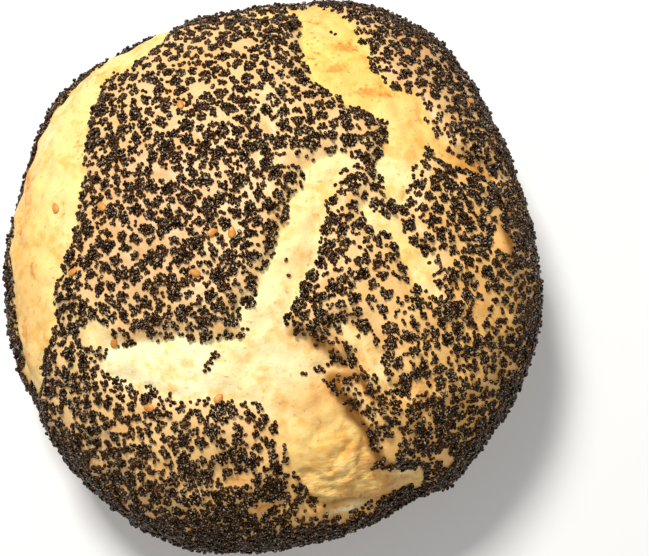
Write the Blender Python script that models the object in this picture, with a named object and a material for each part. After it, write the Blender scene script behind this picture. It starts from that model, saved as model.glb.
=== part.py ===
"""Round white bread loaf, folded like a hand-shaped table roll and crusted with poppy seeds.

Blender 4.5, metres, +Z up. The loaf rests on its flat base at z = 0, with the centre of
its bounding box above the origin. +Y is the side away from the usual viewer.

Places on the crust are given on an unrolled map of the loaf. A point of the map lies in
the direction in which it is seen from above, at its real distance from the crown measured
along the crust, so the crown is (0, 0) and the edge of the base is 0.135 m away.
"""

import math

import bmesh
import bpy
import numpy as np
from mathutils import Matrix, Vector

# Overall form of the loaf
BELLY_RADIUS = 0.079
BELLY_HEIGHT = 0.024
LOAF_HEIGHT = 0.066
FOOT_RADIUS = 0.060
SHOULDER_FULLNESS = 2.35
FOOT_FULLNESS = 2.2

# Unevenness of the outline seen from above: waves round the loaf, size, direction of a crest
OUTLINE_LOBES = (
    (2, 0.0020, 68.0),
    (4, 0.0018, 52.0),
    (5, 0.0008, -18.0),
    (6, 0.0008, -2.0),
)

# Splits where the seeded skin parted and bare dough rose: (x, y, half width) along each
SPLITS = {
    "to_crown": (
        (-0.006, -0.031, 0.0070),
        (-0.0048, -0.025, 0.0059),
        (0.004, -0.012, 0.0050),
        (0.0078, -0.003, 0.0048),
        (0.012, 0.005, 0.0045),
        (0.016, 0.012, 0.0040),
        (0.021, 0.017, 0.0030),
    ),
    "to_left": (
        (-0.003, -0.037, 0.0090),
        (-0.015, -0.035, 0.0080),
        (-0.033, -0.031, 0.0062),
        (-0.044, -0.028, 0.0045),
    ),
    "to_lower_right": (
        (-0.001, -0.038, 0.0090),
        (0.0032, -0.0496, 0.0082),
        (0.0082, -0.0626, 0.0096),
        (0.012, -0.0736, 0.0102),
    ),
    "lower_rim": (
        (0.012, -0.075, 0.0070),
        (0.024, -0.076, 0.0065),
        (0.033, -0.0785, 0.0045),
        (0.040, -0.084, 0.0020),
    ),
    "upper": (
        (0.025, 0.074, 0.0055),
        (0.026, 0.058, 0.0076),
        (0.028, 0.045, 0.0090),
        (0.034, 0.036, 0.0055),
        (0.043, 0.031, 0.0060),
        (0.045, 0.022, 0.0050),
    ),
    "upper_to_right": (
        (0.046, 0.025, 0.0040),
        (0.055, 0.017, 0.0018),
        (0.070, 0.011, 0.0006),
    ),
    "upper_to_middle": (
        (0.042, 0.022, 0.0050),
        (0.037, 0.012, 0.0045),
        (0.037, 0.003, 0.0012),
    ),
    "upper_rim": (
        (0.022, 0.074, 0.0030),
        (0.008, 0.076, 0.0015),
        (-0.006, 0.081, 0.0020),
    ),
    "left_side": (
        (-0.022, 0.082, 0.0050),
        (-0.031, 0.074, 0.0085),
        (-0.040, 0.067, 0.0085),
        (-0.049, 0.060, 0.0095),
        (-0.057, 0.050, 0.0120),
        (-0.063, 0.039, 0.0160),
        (-0.067, 0.028, 0.0185),
        (-0.069, 0.017, 0.0165),
        (-0.070, 0.007, 0.0120),
        (-0.071, -0.003, 0.0100),
        (-0.074, -0.013, 0.0095),
        (-0.079, -0.023, 0.0075),
        (-0.083, -0.033, 0.0040),
    ),
    "right_crack": (
        (0.027, 0.002, 0.0014),
        (0.034, -0.006, 0.0026),
        (0.039, -0.016, 0.0026),
        (0.043, -0.024, 0.0008),
    ),
    "lower_crack": (
        (0.016, -0.028, 0.0008),
        (0.021, -0.036, 0.0026),
        (0.027, -0.047, 0.0008),
    ),
    "notch": (
        (0.003, -0.036, 0.0032),
        (0.009, -0.037, 0.0026),
        (0.014, -0.0395, 0.0006),
    ),
}

# How far the seeded skin stands above the bare dough, and the width of its rounded edge
SKIN_RISE = 0.0020
SKIN_EDGE = 0.0060
DOUGH_BULGE = 0.0007
DOUGH_BULGE_WIDTH = 0.003

# Waviness of the skin's torn edge: how far it strays, and the wavelengths
EDGE_STRAY = 0.0006
EDGE_WAVES = (0.0090, 0.0120, 0.0170, 0.0240)
EDGE_SEED = 11

# Places where the skin stands more or less above the dough: x, y, reach, extra rise
SKIN_SWELLS = (
    (0.010, -0.036, 0.010, 0.0016),
    (0.020, -0.052, 0.014, 0.0032),
    (0.026, -0.066, 0.010, 0.0016),
    (0.058, 0.024, 0.014, 0.0010),
    (-0.010, -0.056, 0.016, -0.0012),
    (-0.084, 0.014, 0.028, -0.0012),
)

# Places where the skin's edge is steeper: x, y, reach, change of its width
EDGE_CHANGES = (
    (0.008, -0.036, 0.009, -0.0026),
    (0.018, -0.056, 0.014, -0.0024),
    (0.035, -0.010, 0.012, -0.0030),
    (0.022, -0.038, 0.007, -0.0014),
    (0.060, 0.016, 0.012, -0.0030),
    (0.040, 0.012, 0.008, -0.0015),
)

# An edge that is narrower by this much is a wall: its foot is soft, its brink is sharp
WALL_NARROWING = 0.0024
WALL_CURVE = 1.7

# Broad swells and hollows of the whole crust: x, y, reach, height
FORM_SWELLS = (
    (-0.020, 0.016, 0.034, 0.0020),
    (0.052, -0.030, 0.030, 0.0018),
    (0.060, 0.052, 0.030, 0.0016),
    (-0.030, -0.066, 0.026, 0.0012),
    (-0.002, -0.038, 0.016, -0.0020),
    (0.030, 0.052, 0.018, -0.0014),
    (-0.084, 0.016, 0.028, 0.0010),
    (0.032, -0.090, 0.009, -0.0036),
    (0.046, -0.088, 0.010, 0.0030),
    (-0.064, -0.070, 0.018, -0.0012),
    (0.030, 0.096, 0.020, 0.0010),
    (0.094, -0.010, 0.022, -0.0012),
    (-0.017, -0.064, 0.005, -0.0016),
    (-0.009, -0.074, 0.006, -0.0018),
    (0.067, -0.011, 0.004, 0.0014),
    (-0.018, 0.092, 0.018, 0.0014),
    (-0.062, 0.062, 0.022, 0.0012),
)

# Folds of dough that run down the side between the petals: direction in degrees, depth
SIDE_FOLDS = ((-64.0, 0.0020), (8.0, 0.0014), (76.0, 0.0018), (118.0, 0.0020), (205.0, 0.0014))
SIDE_FOLD_WIDTH = 0.007
SIDE_FOLD_START = 0.086
SIDE_FOLD_FADE = 0.012

# Width of the band above the base in which all relief dies out
BASE_FADE = 0.020

# A corner of the crust that lies lower than this belongs to the base, which is a true plane
BASE_EVENNESS = 0.0001

# Shelves of torn dough at the lower end of the widest split, high on the left hand of each
# path: half of the step, how far the unevenness reaches, and the path
SHELVES = (
    (0.00035, 0.0026, ((0.001, -0.0655), (0.006, -0.0665), (0.012, -0.0664), (0.017, -0.0635))),
    (0.00045, 0.0026, ((0.002, -0.0715), (0.010, -0.0734), (0.0145, -0.0716), (0.020, -0.0738))),
    (0.00100, 0.0024, ((0.002, -0.0742), (0.008, -0.0768), (0.013, -0.0788), (0.025, -0.0814))),
    (0.00070, 0.0022, ((0.027, -0.0850), (0.017, -0.0840), (0.010, -0.0818), (0.004, -0.0788))),
    (0.00070, 0.0024, ((0.023, -0.0725), (0.027, -0.073), (0.032, -0.075), (0.036, -0.079))),
)
SHELF_BRINK = 0.0007
SHELF_END = 0.0020

# Seeds
POPPY_SIZE = (0.00125, 0.00100, 0.00095)
POPPY_TAPER = 0.10
POPPY_PLACES = 215
SESAME_SIZE = (0.0032, 0.0019, 0.0010)
SESAME_TAPER = 0.35
SESAME_PLACES = (
    (-0.014, 0.001, 20.0),
    (-0.009, 0.000, 80.0),
    (-0.043, 0.014, 130.0),
    (-0.054, -0.002, 10.0),
    (-0.059, 0.019, 100.0),
    (-0.020, -0.009, 150.0),
    (-0.045, -0.023, 60.0),
    (-0.037, -0.041, 160.0),
    (-0.019, -0.042, 40.0),
    (-0.018, 0.039, 95.0),
    (0.066, 0.036, 30.0),
)
SEED_SUNK = 0.22
SEED_CLEARANCE = 0.0012
LOWEST_SEED = 0.118

# Fineness of the solid
SHEET_CELLS = 240
FACETS_KEPT = 6000

GOLDEN_ANGLE = math.pi * (3.0 - math.sqrt(5.0))


def clear_scene():
    for existing in list(bpy.data.objects):
        bpy.data.objects.remove(existing, do_unlink=True)


def loaf_profile(steps=400):
    """Distance along the crust, radius and height, from the crown to the edge of the base.

    Two quarter superellipses meet at the belly, the widest ring of the loaf.
    """
    turn = np.linspace(0.0, math.pi / 2, steps)
    upper_power = 2.0 / SHOULDER_FULLNESS
    lower_power = 2.0 / FOOT_FULLNESS
    upper_radius = BELLY_RADIUS * np.sin(turn) ** upper_power
    upper_height = BELLY_HEIGHT + (LOAF_HEIGHT - BELLY_HEIGHT) * np.cos(turn) ** upper_power
    lower_radius = FOOT_RADIUS + (BELLY_RADIUS - FOOT_RADIUS) * np.cos(turn) ** lower_power
    lower_height = BELLY_HEIGHT * (1.0 - np.sin(turn) ** lower_power)
    radius = np.concatenate([upper_radius, lower_radius[1:]])
    height = np.concatenate([upper_height, lower_height[1:]])
    steps_along = np.hypot(np.diff(radius), np.diff(height))
    along = np.concatenate([[0.0], np.cumsum(steps_along)])
    return along, radius, height


ALONG, RADIUS, HEIGHT = loaf_profile()
CRUST_REACH = float(ALONG[-1])


def smooth_step(value):
    """0 below 0, 1 above 1, and an even slope between."""
    t = np.clip(value, 0.0, 1.0)
    return t * t * (3.0 - 2.0 * t)


def dome_point(place):
    """The plain dome at places of the unrolled map, with its uneven outline."""
    reach = np.hypot(place[:, 0], place[:, 1])
    angle = np.arctan2(place[:, 1], place[:, 0])
    radius = np.interp(reach, ALONG, RADIUS)
    swell = sum(
        size * np.cos(waves * (angle - math.radians(crest)))
        for waves, size, crest in OUTLINE_LOBES
    )
    radius = radius * (1.0 + swell / BELLY_RADIUS * (radius / BELLY_RADIUS) ** 2)
    height = np.interp(reach, ALONG, HEIGHT)
    return np.stack([radius * np.cos(angle), radius * np.sin(angle), height], axis=1)


def dome_normal(place, step=0.0004):
    """Outward direction of the plain dome, from two small steps on the map."""
    along_x = dome_point(place + (step, 0.0)) - dome_point(place - (step, 0.0))
    along_y = dome_point(place + (0.0, step)) - dome_point(place - (0.0, step))
    normal = np.cross(along_x, along_y)
    return normal / np.linalg.norm(normal, axis=1, keepdims=True)


def distance_from_splits(place):
    """Distance on the map from the edge of the nearest split: above 0 on the skin."""
    nearest = np.full(len(place), np.inf)
    for points in SPLITS.values():
        for (x0, y0, width0), (x1, y1, width1) in zip(points, points[1:]):
            start = np.array((x0, y0))
            run = np.array((x1, y1)) - start
            share = np.clip((place - start) @ run / (run @ run), 0.0, 1.0)
            gap = np.linalg.norm(place - start - share[:, None] * run, axis=1)
            nearest = np.minimum(nearest, gap - width0 - share * (width1 - width0))
    return nearest + ripple(place)


def ripple(place):
    """Gentle uneven waves in random directions, for the wandering edge of the skin."""
    draw = np.random.default_rng(EDGE_SEED)
    total = np.zeros(len(place))
    for length in EDGE_WAVES:
        for heading in draw.uniform(0.0, math.pi, 2):
            across = place[:, 0] * math.cos(heading) + place[:, 1] * math.sin(heading)
            total += np.sin(across * 2.0 * math.pi / length + draw.uniform(0.0, 2.0 * math.pi))
    return total * EDGE_STRAY / math.sqrt(len(EDGE_WAVES))


def swells(place, table):
    """Sum of soft round swells, each given as x, y, reach and height."""
    total = np.zeros(len(place))
    for x, y, reach, height in table:
        gap = np.hypot(place[:, 0] - x, place[:, 1] - y) / reach
        total += height * np.exp(-(gap**2))
    return total


def side_folds(place):
    """Soft grooves down the side, below the shoulder, that fade towards the base."""
    reach = np.hypot(place[:, 0], place[:, 1])
    angle = np.arctan2(place[:, 1], place[:, 0])
    fade = smooth_step((reach - SIDE_FOLD_START) / SIDE_FOLD_FADE)
    total = np.zeros(len(place))
    for direction, depth in SIDE_FOLDS:
        turn = np.angle(np.exp(1j * (angle - math.radians(direction))))
        across = turn * BELLY_RADIUS / SIDE_FOLD_WIDTH
        total -= depth * np.exp(-(across**2)) * fade
    return total


def shelf(place, step, reach, path):
    """One torn shelf: dough that stands higher on one side of a path, and evens out again."""
    nearest = np.full(len(place), np.inf)
    height = np.zeros(len(place))
    for start, end in zip(path, path[1:]):
        run = np.subtract(end, start)
        length = math.hypot(*run)
        offset = place - start
        along = offset @ run / length
        across = (run[0] * offset[:, 1] - run[1] * offset[:, 0]) / length
        beyond = along - np.clip(along, 0.0, length)
        own = step * np.tanh(across / SHELF_BRINK) * np.exp(-np.abs(across) / reach)
        own *= np.exp(-((beyond / SHELF_END) ** 2))
        gap = np.hypot(across, beyond)
        height = np.where(gap < nearest, own, height)
        nearest = np.minimum(nearest, gap)
    return height


def skin_height(place, edge):
    """Height of the seeded skin above the dough. Its edge is rounded, or else a wall."""
    rise = SKIN_RISE + swells(place, SKIN_SWELLS)
    narrowing = swells(place, EDGE_CHANGES)
    wall = np.clip(-narrowing / WALL_NARROWING, 0.0, 1.0)
    share = np.clip(edge / (SKIN_EDGE + narrowing), 0.0, 1.0)
    climb = np.sin(share * math.pi / 2)
    return rise * (climb + (share**WALL_CURVE - climb) * wall)


def relief(place):
    """Height of the crust above the plain dome: the skin lies near 0 and the splits below."""
    edge = distance_from_splits(place)
    dough = DOUGH_BULGE * (1.0 - np.exp(np.minimum(edge, 0.0) / DOUGH_BULGE_WIDTH))
    form = swells(place, FORM_SWELLS) + side_folds(place)
    form += sum(shelf(place, *values) for values in SHELVES)
    height = skin_height(place, edge) + dough - SKIN_RISE + form
    reach = np.hypot(place[:, 0], place[:, 1])
    return height * smooth_step((CRUST_REACH - reach) / BASE_FADE)


def crust_point(place):
    """The crust itself: the dome raised along its own direction by the relief."""
    return dome_point(place) + dome_normal(place) * relief(place)[:, None]


def round_from_square(square):
    """Places on the map for points of a square sheet, ring by ring.

    Each square ring of the sheet becomes a circle round the crown, so that the cells stay
    nearly even and the border of the sheet becomes the edge of the base.
    """
    x, y = square[:, 0], square[:, 1]
    ring = np.maximum(np.abs(x), np.abs(y))
    safe = np.where(ring > 0.0, ring, 1.0)
    wide = np.abs(x) >= np.abs(y)
    slope = np.where(wide, y, x) / safe
    turn = slope * math.pi / 4
    angle = np.where(wide, turn, math.pi / 2 - turn)
    sign = np.where(wide, np.sign(x), np.sign(y))
    angle = np.where(sign < 0.0, np.where(wide, math.pi - turn, turn - math.pi / 2), angle)
    reach = ring * CRUST_REACH
    return np.stack([reach * np.cos(angle), reach * np.sin(angle)], axis=1)


def crust_material():
    material = bpy.data.materials.new("baked_crust")
    material.use_nodes = True
    shader = material.node_tree.nodes["Principled BSDF"]
    shader.inputs["Base Color"].default_value = (0.80, 0.52, 0.24, 1.0)
    shader.inputs["Roughness"].default_value = 0.55
    shader.inputs["Metallic"].default_value = 0.0
    return material


def build_crust(material):
    """The loaf without its seeds: a sheet drawn over the dome and closed by a flat base."""
    sheet = bmesh.new()
    bmesh.ops.create_grid(sheet, x_segments=SHEET_CELLS, y_segments=SHEET_CELLS, size=1.0)
    square = np.array([vertex.co[:2] for vertex in sheet.verts])
    points = crust_point(round_from_square(square))
    for vertex, point in zip(sheet.verts, points):
        vertex.co = point
    for vertex in sheet.verts:
        if vertex.is_boundary:
            vertex.co.z = 0.0
    border = [edge for edge in sheet.edges if edge.is_boundary]
    bmesh.ops.contextual_create(sheet, geom=border)
    bmesh.ops.recalc_face_normals(sheet, faces=sheet.faces)
    bmesh.ops.triangulate(sheet, faces=sheet.faces)
    facets = len(sheet.faces)
    mesh = bpy.data.meshes.new("loaf")
    sheet.to_mesh(mesh)
    sheet.free()
    mesh.materials.append(material)
    loaf = bpy.data.objects.new("loaf", mesh)
    bpy.context.scene.collection.objects.link(loaf)
    thin = loaf.modifiers.new("fewer_facets", "DECIMATE")
    thin.ratio = FACETS_KEPT / facets
    apply_modifiers(loaf)
    for vertex in loaf.data.vertices:
        if vertex.co.z < BASE_EVENNESS:
            vertex.co.z = 0.0
    return loaf


def apply_modifiers(target):
    """Replaces the object's mesh by what its modifiers make of it."""
    graph = bpy.context.evaluated_depsgraph_get()
    finished = bpy.data.meshes.new_from_object(target.evaluated_get(graph))
    target.modifiers.clear()
    target.data = finished


def seed_mesh(name, size, taper):
    """An ellipsoid of the given length, width and thickness, narrower at one end."""
    ball = bmesh.new()
    bmesh.ops.create_icosphere(ball, subdivisions=1, radius=0.5)
    for vertex in ball.verts:
        narrow = 1.0 - taper * (vertex.co.x + 0.5)
        vertex.co = Vector(
            (
                vertex.co.x * size[0],
                vertex.co.y * size[1] * narrow,
                vertex.co.z * size[2] * narrow,
            )
        )
    mesh = bpy.data.meshes.new(name)
    ball.to_mesh(mesh)
    ball.free()
    return mesh


def spread_evenly(count):
    """Places spread evenly over the crust by the golden angle, from the crown outwards."""
    area = np.concatenate([[0.0], np.cumsum(0.5 * (RADIUS[1:] + RADIUS[:-1]) * np.diff(ALONG))])
    wanted = (np.arange(count) + 0.5) / count * area[-1]
    reach = np.interp(wanted, area, ALONG)
    angle = np.arange(count) * GOLDEN_ANGLE
    return np.stack([reach * np.cos(angle), reach * np.sin(angle)], axis=1)


def poppy_places():
    """Even places that lie on the seeded skin, with the direction that each seed points."""
    places = spread_evenly(POPPY_PLACES)
    reach = np.hypot(places[:, 0], places[:, 1])
    seeded = (distance_from_splits(places) > SEED_CLEARANCE) & (reach < LOWEST_SEED)
    for x, y, _ in SESAME_PLACES:
        seeded &= np.hypot(places[:, 0] - x, places[:, 1] - y) > SESAME_SIZE[0]
    numbers = np.nonzero(seeded)[0]
    return [(*places[n], math.degrees(n * GOLDEN_ANGLE)) for n in numbers]


def set_seeds(loaf, mesh, places, group):
    """Puts a seed at each place, partly sunk in the crust and turned to lie flat on it."""
    points = crust_point(np.array([place[:2] for place in places]))
    thickness = mesh_thickness(mesh)
    for number, (point, (_, _, turn)) in enumerate(zip(points, places)):
        _, seat, normal, _ = loaf.closest_point_on_mesh(Vector(point))
        lying = normal.to_track_quat("Z", "Y")
        spun = lying.to_matrix().to_4x4() @ Matrix.Rotation(math.radians(turn), 4, "Z")
        seed = bpy.data.objects.new(f"{mesh.name}_{number:03d}", mesh)
        seed.matrix_world = spun
        seed.location = seat + normal * thickness * (0.5 - SEED_SUNK)
        group.objects.link(seed)


def mesh_thickness(mesh):
    heights = [vertex.co.z for vertex in mesh.vertices]
    return max(heights) - min(heights)


def fuse_seeds(loaf):
    """Sets the sesame and poppy seeds on the crust and joins them to it in one union."""
    seeds = bpy.data.collections.new("seeds")
    bpy.context.scene.collection.children.link(seeds)
    set_seeds(loaf, seed_mesh("sesame", SESAME_SIZE, SESAME_TAPER), SESAME_PLACES, seeds)
    set_seeds(loaf, seed_mesh("poppy", POPPY_SIZE, POPPY_TAPER), poppy_places(), seeds)
    join = loaf.modifiers.new("seeds_fused", "BOOLEAN")
    join.operation = "UNION"
    join.operand_type = "COLLECTION"
    join.collection = seeds
    join.solver = "EXACT"
    apply_modifiers(loaf)
    for seed in list(seeds.objects):
        bpy.data.objects.remove(seed, do_unlink=True)
    bpy.data.collections.remove(seeds)


def centre_on_origin(loaf):
    """Moves the mesh so that its bounding box stands centred on the origin."""
    points = np.array([vertex.co for vertex in loaf.data.vertices])
    middle = (points.min(axis=0) + points.max(axis=0)) / 2
    for vertex in loaf.data.vertices:
        vertex.co.x -= middle[0]
        vertex.co.y -= middle[1]


def main():
    clear_scene()
    loaf = build_crust(crust_material())
    fuse_seeds(loaf)
    centre_on_origin(loaf)


main()
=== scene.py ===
# %% [markdown]
# # A white poppy seed loaf
# A round loaf is shaped by hand: flaps of dough are folded to the middle, the top is
# pressed into poppy seeds, and in the oven the flaps part along bare, smooth splits.
# This lesson dresses the plain solid of that loaf. Everything is worked out as whole
# numpy arrays, so that a hundred thousand points cost one line each.
#
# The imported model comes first. It gives the loaf's true place and size, and every new
# piece is measured against it.

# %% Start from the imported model
import math

import bpy
import numpy as np
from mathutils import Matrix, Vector


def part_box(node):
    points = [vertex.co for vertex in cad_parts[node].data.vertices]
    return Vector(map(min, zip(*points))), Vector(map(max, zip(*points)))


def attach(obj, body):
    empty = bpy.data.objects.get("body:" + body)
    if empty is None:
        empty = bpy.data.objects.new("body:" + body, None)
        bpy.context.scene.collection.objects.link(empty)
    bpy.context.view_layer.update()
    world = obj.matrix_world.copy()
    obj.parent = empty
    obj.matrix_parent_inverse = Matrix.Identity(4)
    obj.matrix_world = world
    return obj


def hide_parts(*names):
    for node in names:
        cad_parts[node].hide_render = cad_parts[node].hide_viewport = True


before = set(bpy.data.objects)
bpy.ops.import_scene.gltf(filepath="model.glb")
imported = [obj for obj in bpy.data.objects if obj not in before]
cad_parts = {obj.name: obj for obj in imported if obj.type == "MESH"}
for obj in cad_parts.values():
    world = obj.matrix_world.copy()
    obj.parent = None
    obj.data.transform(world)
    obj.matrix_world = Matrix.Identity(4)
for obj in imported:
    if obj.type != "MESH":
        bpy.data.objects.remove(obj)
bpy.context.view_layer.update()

MM = 0.001
loaf_low, loaf_high = (np.array(corner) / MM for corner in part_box("loaf"))
print("the solid loaf measures", np.round(loaf_high - loaf_low, 1), "mm")

# %% [markdown]
# ## The form of the loaf
# A real loaf is a dome that bulges over its foot. It could be sculpted, but two quarter
# superellipses that meet at the belly give the same profile from four sizes and two
# fullnesses. They are those of the solid, so the dressed loaf can't drift from it.
#
# Places on the crust are given on an unrolled map. A point of the map lies in the
# direction in which it is seen from above, at its real distance from the crown measured
# along the crust. Lengths are in millimetres from here on.

# %% Profile of the dome
BELLY_RADIUS = 79.0
BELLY_HEIGHT = 24.0
LOAF_HEIGHT = 66.0
FOOT_RADIUS = 60.0
SHOULDER_FULLNESS = 2.35
FOOT_FULLNESS = 2.2


def dome_profile(steps=400):
    """Distance along the crust, radius and height, from the crown to the foot.

    Above the belly, radius and height are powers of the sine and cosine of one turning
    angle; below it, the same with the foot's own fullness.
    """
    turn = np.linspace(0.0, math.pi / 2, steps)
    above, below = 2.0 / SHOULDER_FULLNESS, 2.0 / FOOT_FULLNESS
    radius_above = BELLY_RADIUS * np.sin(turn) ** above
    height_above = BELLY_HEIGHT + (LOAF_HEIGHT - BELLY_HEIGHT) * np.cos(turn) ** above
    radius_below = FOOT_RADIUS + (BELLY_RADIUS - FOOT_RADIUS) * np.cos(turn) ** below
    height_below = BELLY_HEIGHT * (1.0 - np.sin(turn) ** below)
    radius = np.concatenate([radius_above, radius_below[1:]])
    height = np.concatenate([height_above, height_below[1:]])
    along = np.concatenate([[0.0], np.cumsum(np.hypot(np.diff(radius), np.diff(height)))])
    return along, radius, height


ALONG, RADIUS, HEIGHT = dome_profile()
CRUST_REACH = float(ALONG[-1])
print("from crown to foot the crust measures", round(CRUST_REACH, 1), "mm")

# %% The dome as a surface
# Waves round the outline seen from above: how many, their size, direction of a crest
OUTLINE_LOBES = ((2, 2.0, 68.0), (4, 1.8, 52.0), (5, 0.8, -18.0), (6, 0.8, -2.0))
CROWN = np.zeros((1, 2))


def dome(place):
    """Points of the plain dome: its radius swells by a sum of cosines round the loaf."""
    reach = np.hypot(place[:, 0], place[:, 1])
    angle = np.arctan2(place[:, 1], place[:, 0])
    radius = np.interp(reach, ALONG, RADIUS)
    swell = sum(
        size * np.cos(waves * (angle - math.radians(crest)))
        for waves, size, crest in OUTLINE_LOBES
    )
    radius = radius * (1.0 + swell / BELLY_RADIUS * (radius / BELLY_RADIUS) ** 2)
    height = np.interp(reach, ALONG, HEIGHT)
    return np.stack([radius * np.cos(angle), radius * np.sin(angle), height], axis=1)


def outward(surface_of, place, step=0.4):
    """Outward directions of a surface: the cross product of two small steps on the map."""
    east = surface_of(place + (step, 0.0)) - surface_of(place - (step, 0.0))
    north = surface_of(place + (0.0, step)) - surface_of(place - (0.0, step))
    normal = np.cross(east, north)
    return normal / np.linalg.norm(normal, axis=1, keepdims=True)


print("the crown of the plain dome is", round(float(dome(CROWN)[0, 2]), 1), "mm high")

# %% [markdown]
# ## Where the skin parted
# The oven parted the skin along a dozen splits. They could be cut with a knife tool, but
# a cut says nothing about the places beside it. Here each split is a path on the map, and
# the distance from the nearest split's edge, above 0 on the skin and below 0 on bare
# dough, is a number of its own: the relief, the colours and the seeds all follow it.

# %% The splits
# Points of each path: x, y, half width
SPLITS = {
    "to_crown": (
        (-6, -31, 7.0), (-4.8, -25, 5.9), (4, -12, 5.0), (7.8, -3, 4.8), (12, 5, 4.5), (16, 12, 4.0),
        (21, 17, 3.0),
    ),
    "to_left": ((-3, -37, 9.0), (-15, -35, 8.0), (-33, -31, 6.2), (-44, -28, 4.5)),
    "to_lower_right": ((-1, -38, 9.0), (3.2, -49.6, 8.2), (8.2, -62.6, 9.6), (12, -73.6, 10.2)),
    "lower_rim": ((12, -75, 7.0), (24, -76, 6.5), (33, -78.5, 4.5), (40, -84, 2.0)),
    "upper": ((25, 74, 5.5), (26, 58, 7.6), (28, 45, 9.0), (34, 36, 5.5), (43, 31, 6.0), (45, 22, 5.0)),
    "upper_to_right": ((46, 25, 4.0), (55, 17, 1.8), (70, 11, 0.6)),
    "upper_to_middle": ((42, 22, 5.0), (37, 12, 4.5), (37, 3, 1.2)),
    "upper_rim": ((22, 74, 3.0), (8, 76, 1.5), (-6, 81, 2.0)),
    "left_side": (
        (-22, 82, 5.0), (-31, 74, 8.5), (-40, 67, 8.5), (-49, 60, 9.5), (-57, 50, 12.0),
        (-63, 39, 16.0), (-67, 28, 18.5), (-69, 17, 16.5), (-70, 7, 12.0), (-71, -3, 10.0),
        (-74, -13, 9.5), (-79, -23, 7.5), (-83, -33, 4.0),
    ),
    "right_crack": ((27, 2, 1.4), (34, -6, 2.6), (39, -16, 2.6), (43, -24, 0.8)),
    "lower_crack": ((16, -28, 0.8), (21, -36, 2.6), (27, -47, 0.8)),
    "notch": ((3, -36, 3.2), (9, -37, 2.6), (14, -39.5, 0.6)),
}
print(len(SPLITS), "splits, with", sum(len(path) for path in SPLITS.values()), "points in all")

# %% Distance from the edge of the skin
EDGE_STRAY = 0.6
EDGE_WAVES = (9.0, 12.0, 17.0, 24.0)
EDGE_SEED = 11


def edge_ripple(place):
    """The wandering of the skin's edge: sines along random headings, four wavelengths."""
    draw = np.random.default_rng(EDGE_SEED)
    total = np.zeros(len(place))
    for length in EDGE_WAVES:
        for heading in draw.uniform(0.0, math.pi, 2):
            across = place[:, 0] * math.cos(heading) + place[:, 1] * math.sin(heading)
            total += np.sin(across * 2.0 * math.pi / length + draw.uniform(0.0, 2.0 * math.pi))
    return total * EDGE_STRAY / math.sqrt(len(EDGE_WAVES))


def gap_from_path(place, path):
    """Distance from a path's edge: the least over its legs of distance minus half width."""
    nearest = np.full(len(place), np.inf)
    for (x0, y0, width0), (x1, y1, width1) in zip(path, path[1:]):
        start = np.array((x0, y0), dtype=float)
        run = np.array((x1, y1)) - start
        share = np.clip((place - start) @ run / (run @ run), 0.0, 1.0)
        gap = np.linalg.norm(place - start - share[:, None] * run, axis=1)
        nearest = np.minimum(nearest, gap - width0 - share * (width1 - width0))
    return nearest


def edge_distance(place):
    """Distance from the edge of the nearest split, with its ripple."""
    gaps = [gap_from_path(place, path) for path in SPLITS.values()]
    return np.minimum.reduce(gaps) + edge_ripple(place)


print("the crown lies", round(float(edge_distance(CROWN)[0]), 1), "mm from the nearest split")

# %% [markdown]
# ## Relief of the crust
# The skin stands above the dough with a rounded edge, the loaf has broad swells and
# hollows, and the lower end of the widest split tore into shelves. A displacement
# texture could carve all this, but it would be lost in an exported model, so the relief
# is real geometry: one height for each place, added along the dome's own direction.
# These first terms are the solid's own.

# %% Swells
# Each swell: x, y, reach, height
SKIN_SWELLS = (
    (10, -36, 10, 1.6), (20, -52, 14, 3.2), (26, -66, 10, 1.6), (58, 24, 14, 1.0),
    (-10, -56, 16, -1.2), (-84, 14, 28, -1.2),
)
FORM_SWELLS = (
    (-20, 16, 34, 2.0), (52, -30, 30, 1.8), (60, 52, 30, 1.6), (-30, -66, 26, 1.2),
    (-2, -38, 16, -2.0), (30, 52, 18, -1.4), (-84, 16, 28, 1.0), (32, -90, 9, -3.6),
    (46, -88, 10, 3.0), (-64, -70, 18, -1.2), (30, 96, 20, 1.0), (94, -10, 22, -1.2),
    (-17, -64, 5, -1.6), (-9, -74, 6, -1.8), (67, -11, 4, 1.4), (-18, 92, 18, 1.4),
    (-62, 62, 22, 1.2),
)


def smooth_step(value):
    """0 below 0, 1 above 1, and three squares less two cubes of the value between."""
    t = np.clip(value, 0.0, 1.0)
    return t * t * (3.0 - 2.0 * t)


def swells(place, table):
    """Sum of round swells: each height times the bell curve of distance over reach."""
    total = np.zeros(len(place))
    for x, y, reach, height in table:
        gap = np.hypot(place[:, 0] - x, place[:, 1] - y) / reach
        total += height * np.exp(-(gap**2))
    return total


print(len(SKIN_SWELLS), "swells of the skin and", len(FORM_SWELLS), "of the whole form")

# %% Folds down the side
# Direction in degrees, depth
SIDE_FOLDS = ((-64.0, 2.0), (8.0, 1.4), (76.0, 1.8), (118.0, 2.0), (205.0, 1.4))
SIDE_FOLD_WIDTH = 7.0
SIDE_FOLD_START = 86.0
SIDE_FOLD_FADE = 12.0


def side_folds(place):
    """Grooves down the side: a bell curve of the distance round the loaf from each fold."""
    reach = np.hypot(place[:, 0], place[:, 1])
    angle = np.arctan2(place[:, 1], place[:, 0])
    fade = smooth_step((reach - SIDE_FOLD_START) / SIDE_FOLD_FADE)
    total = np.zeros(len(place))
    for direction, depth in SIDE_FOLDS:
        turn = np.angle(np.exp(1j * (angle - math.radians(direction))))
        total -= depth * np.exp(-((turn * BELLY_RADIUS / SIDE_FOLD_WIDTH) ** 2)) * fade
    return total


print(len(SIDE_FOLDS), "folds, the deepest of", max(depth for _, depth in SIDE_FOLDS), "mm")

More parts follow.
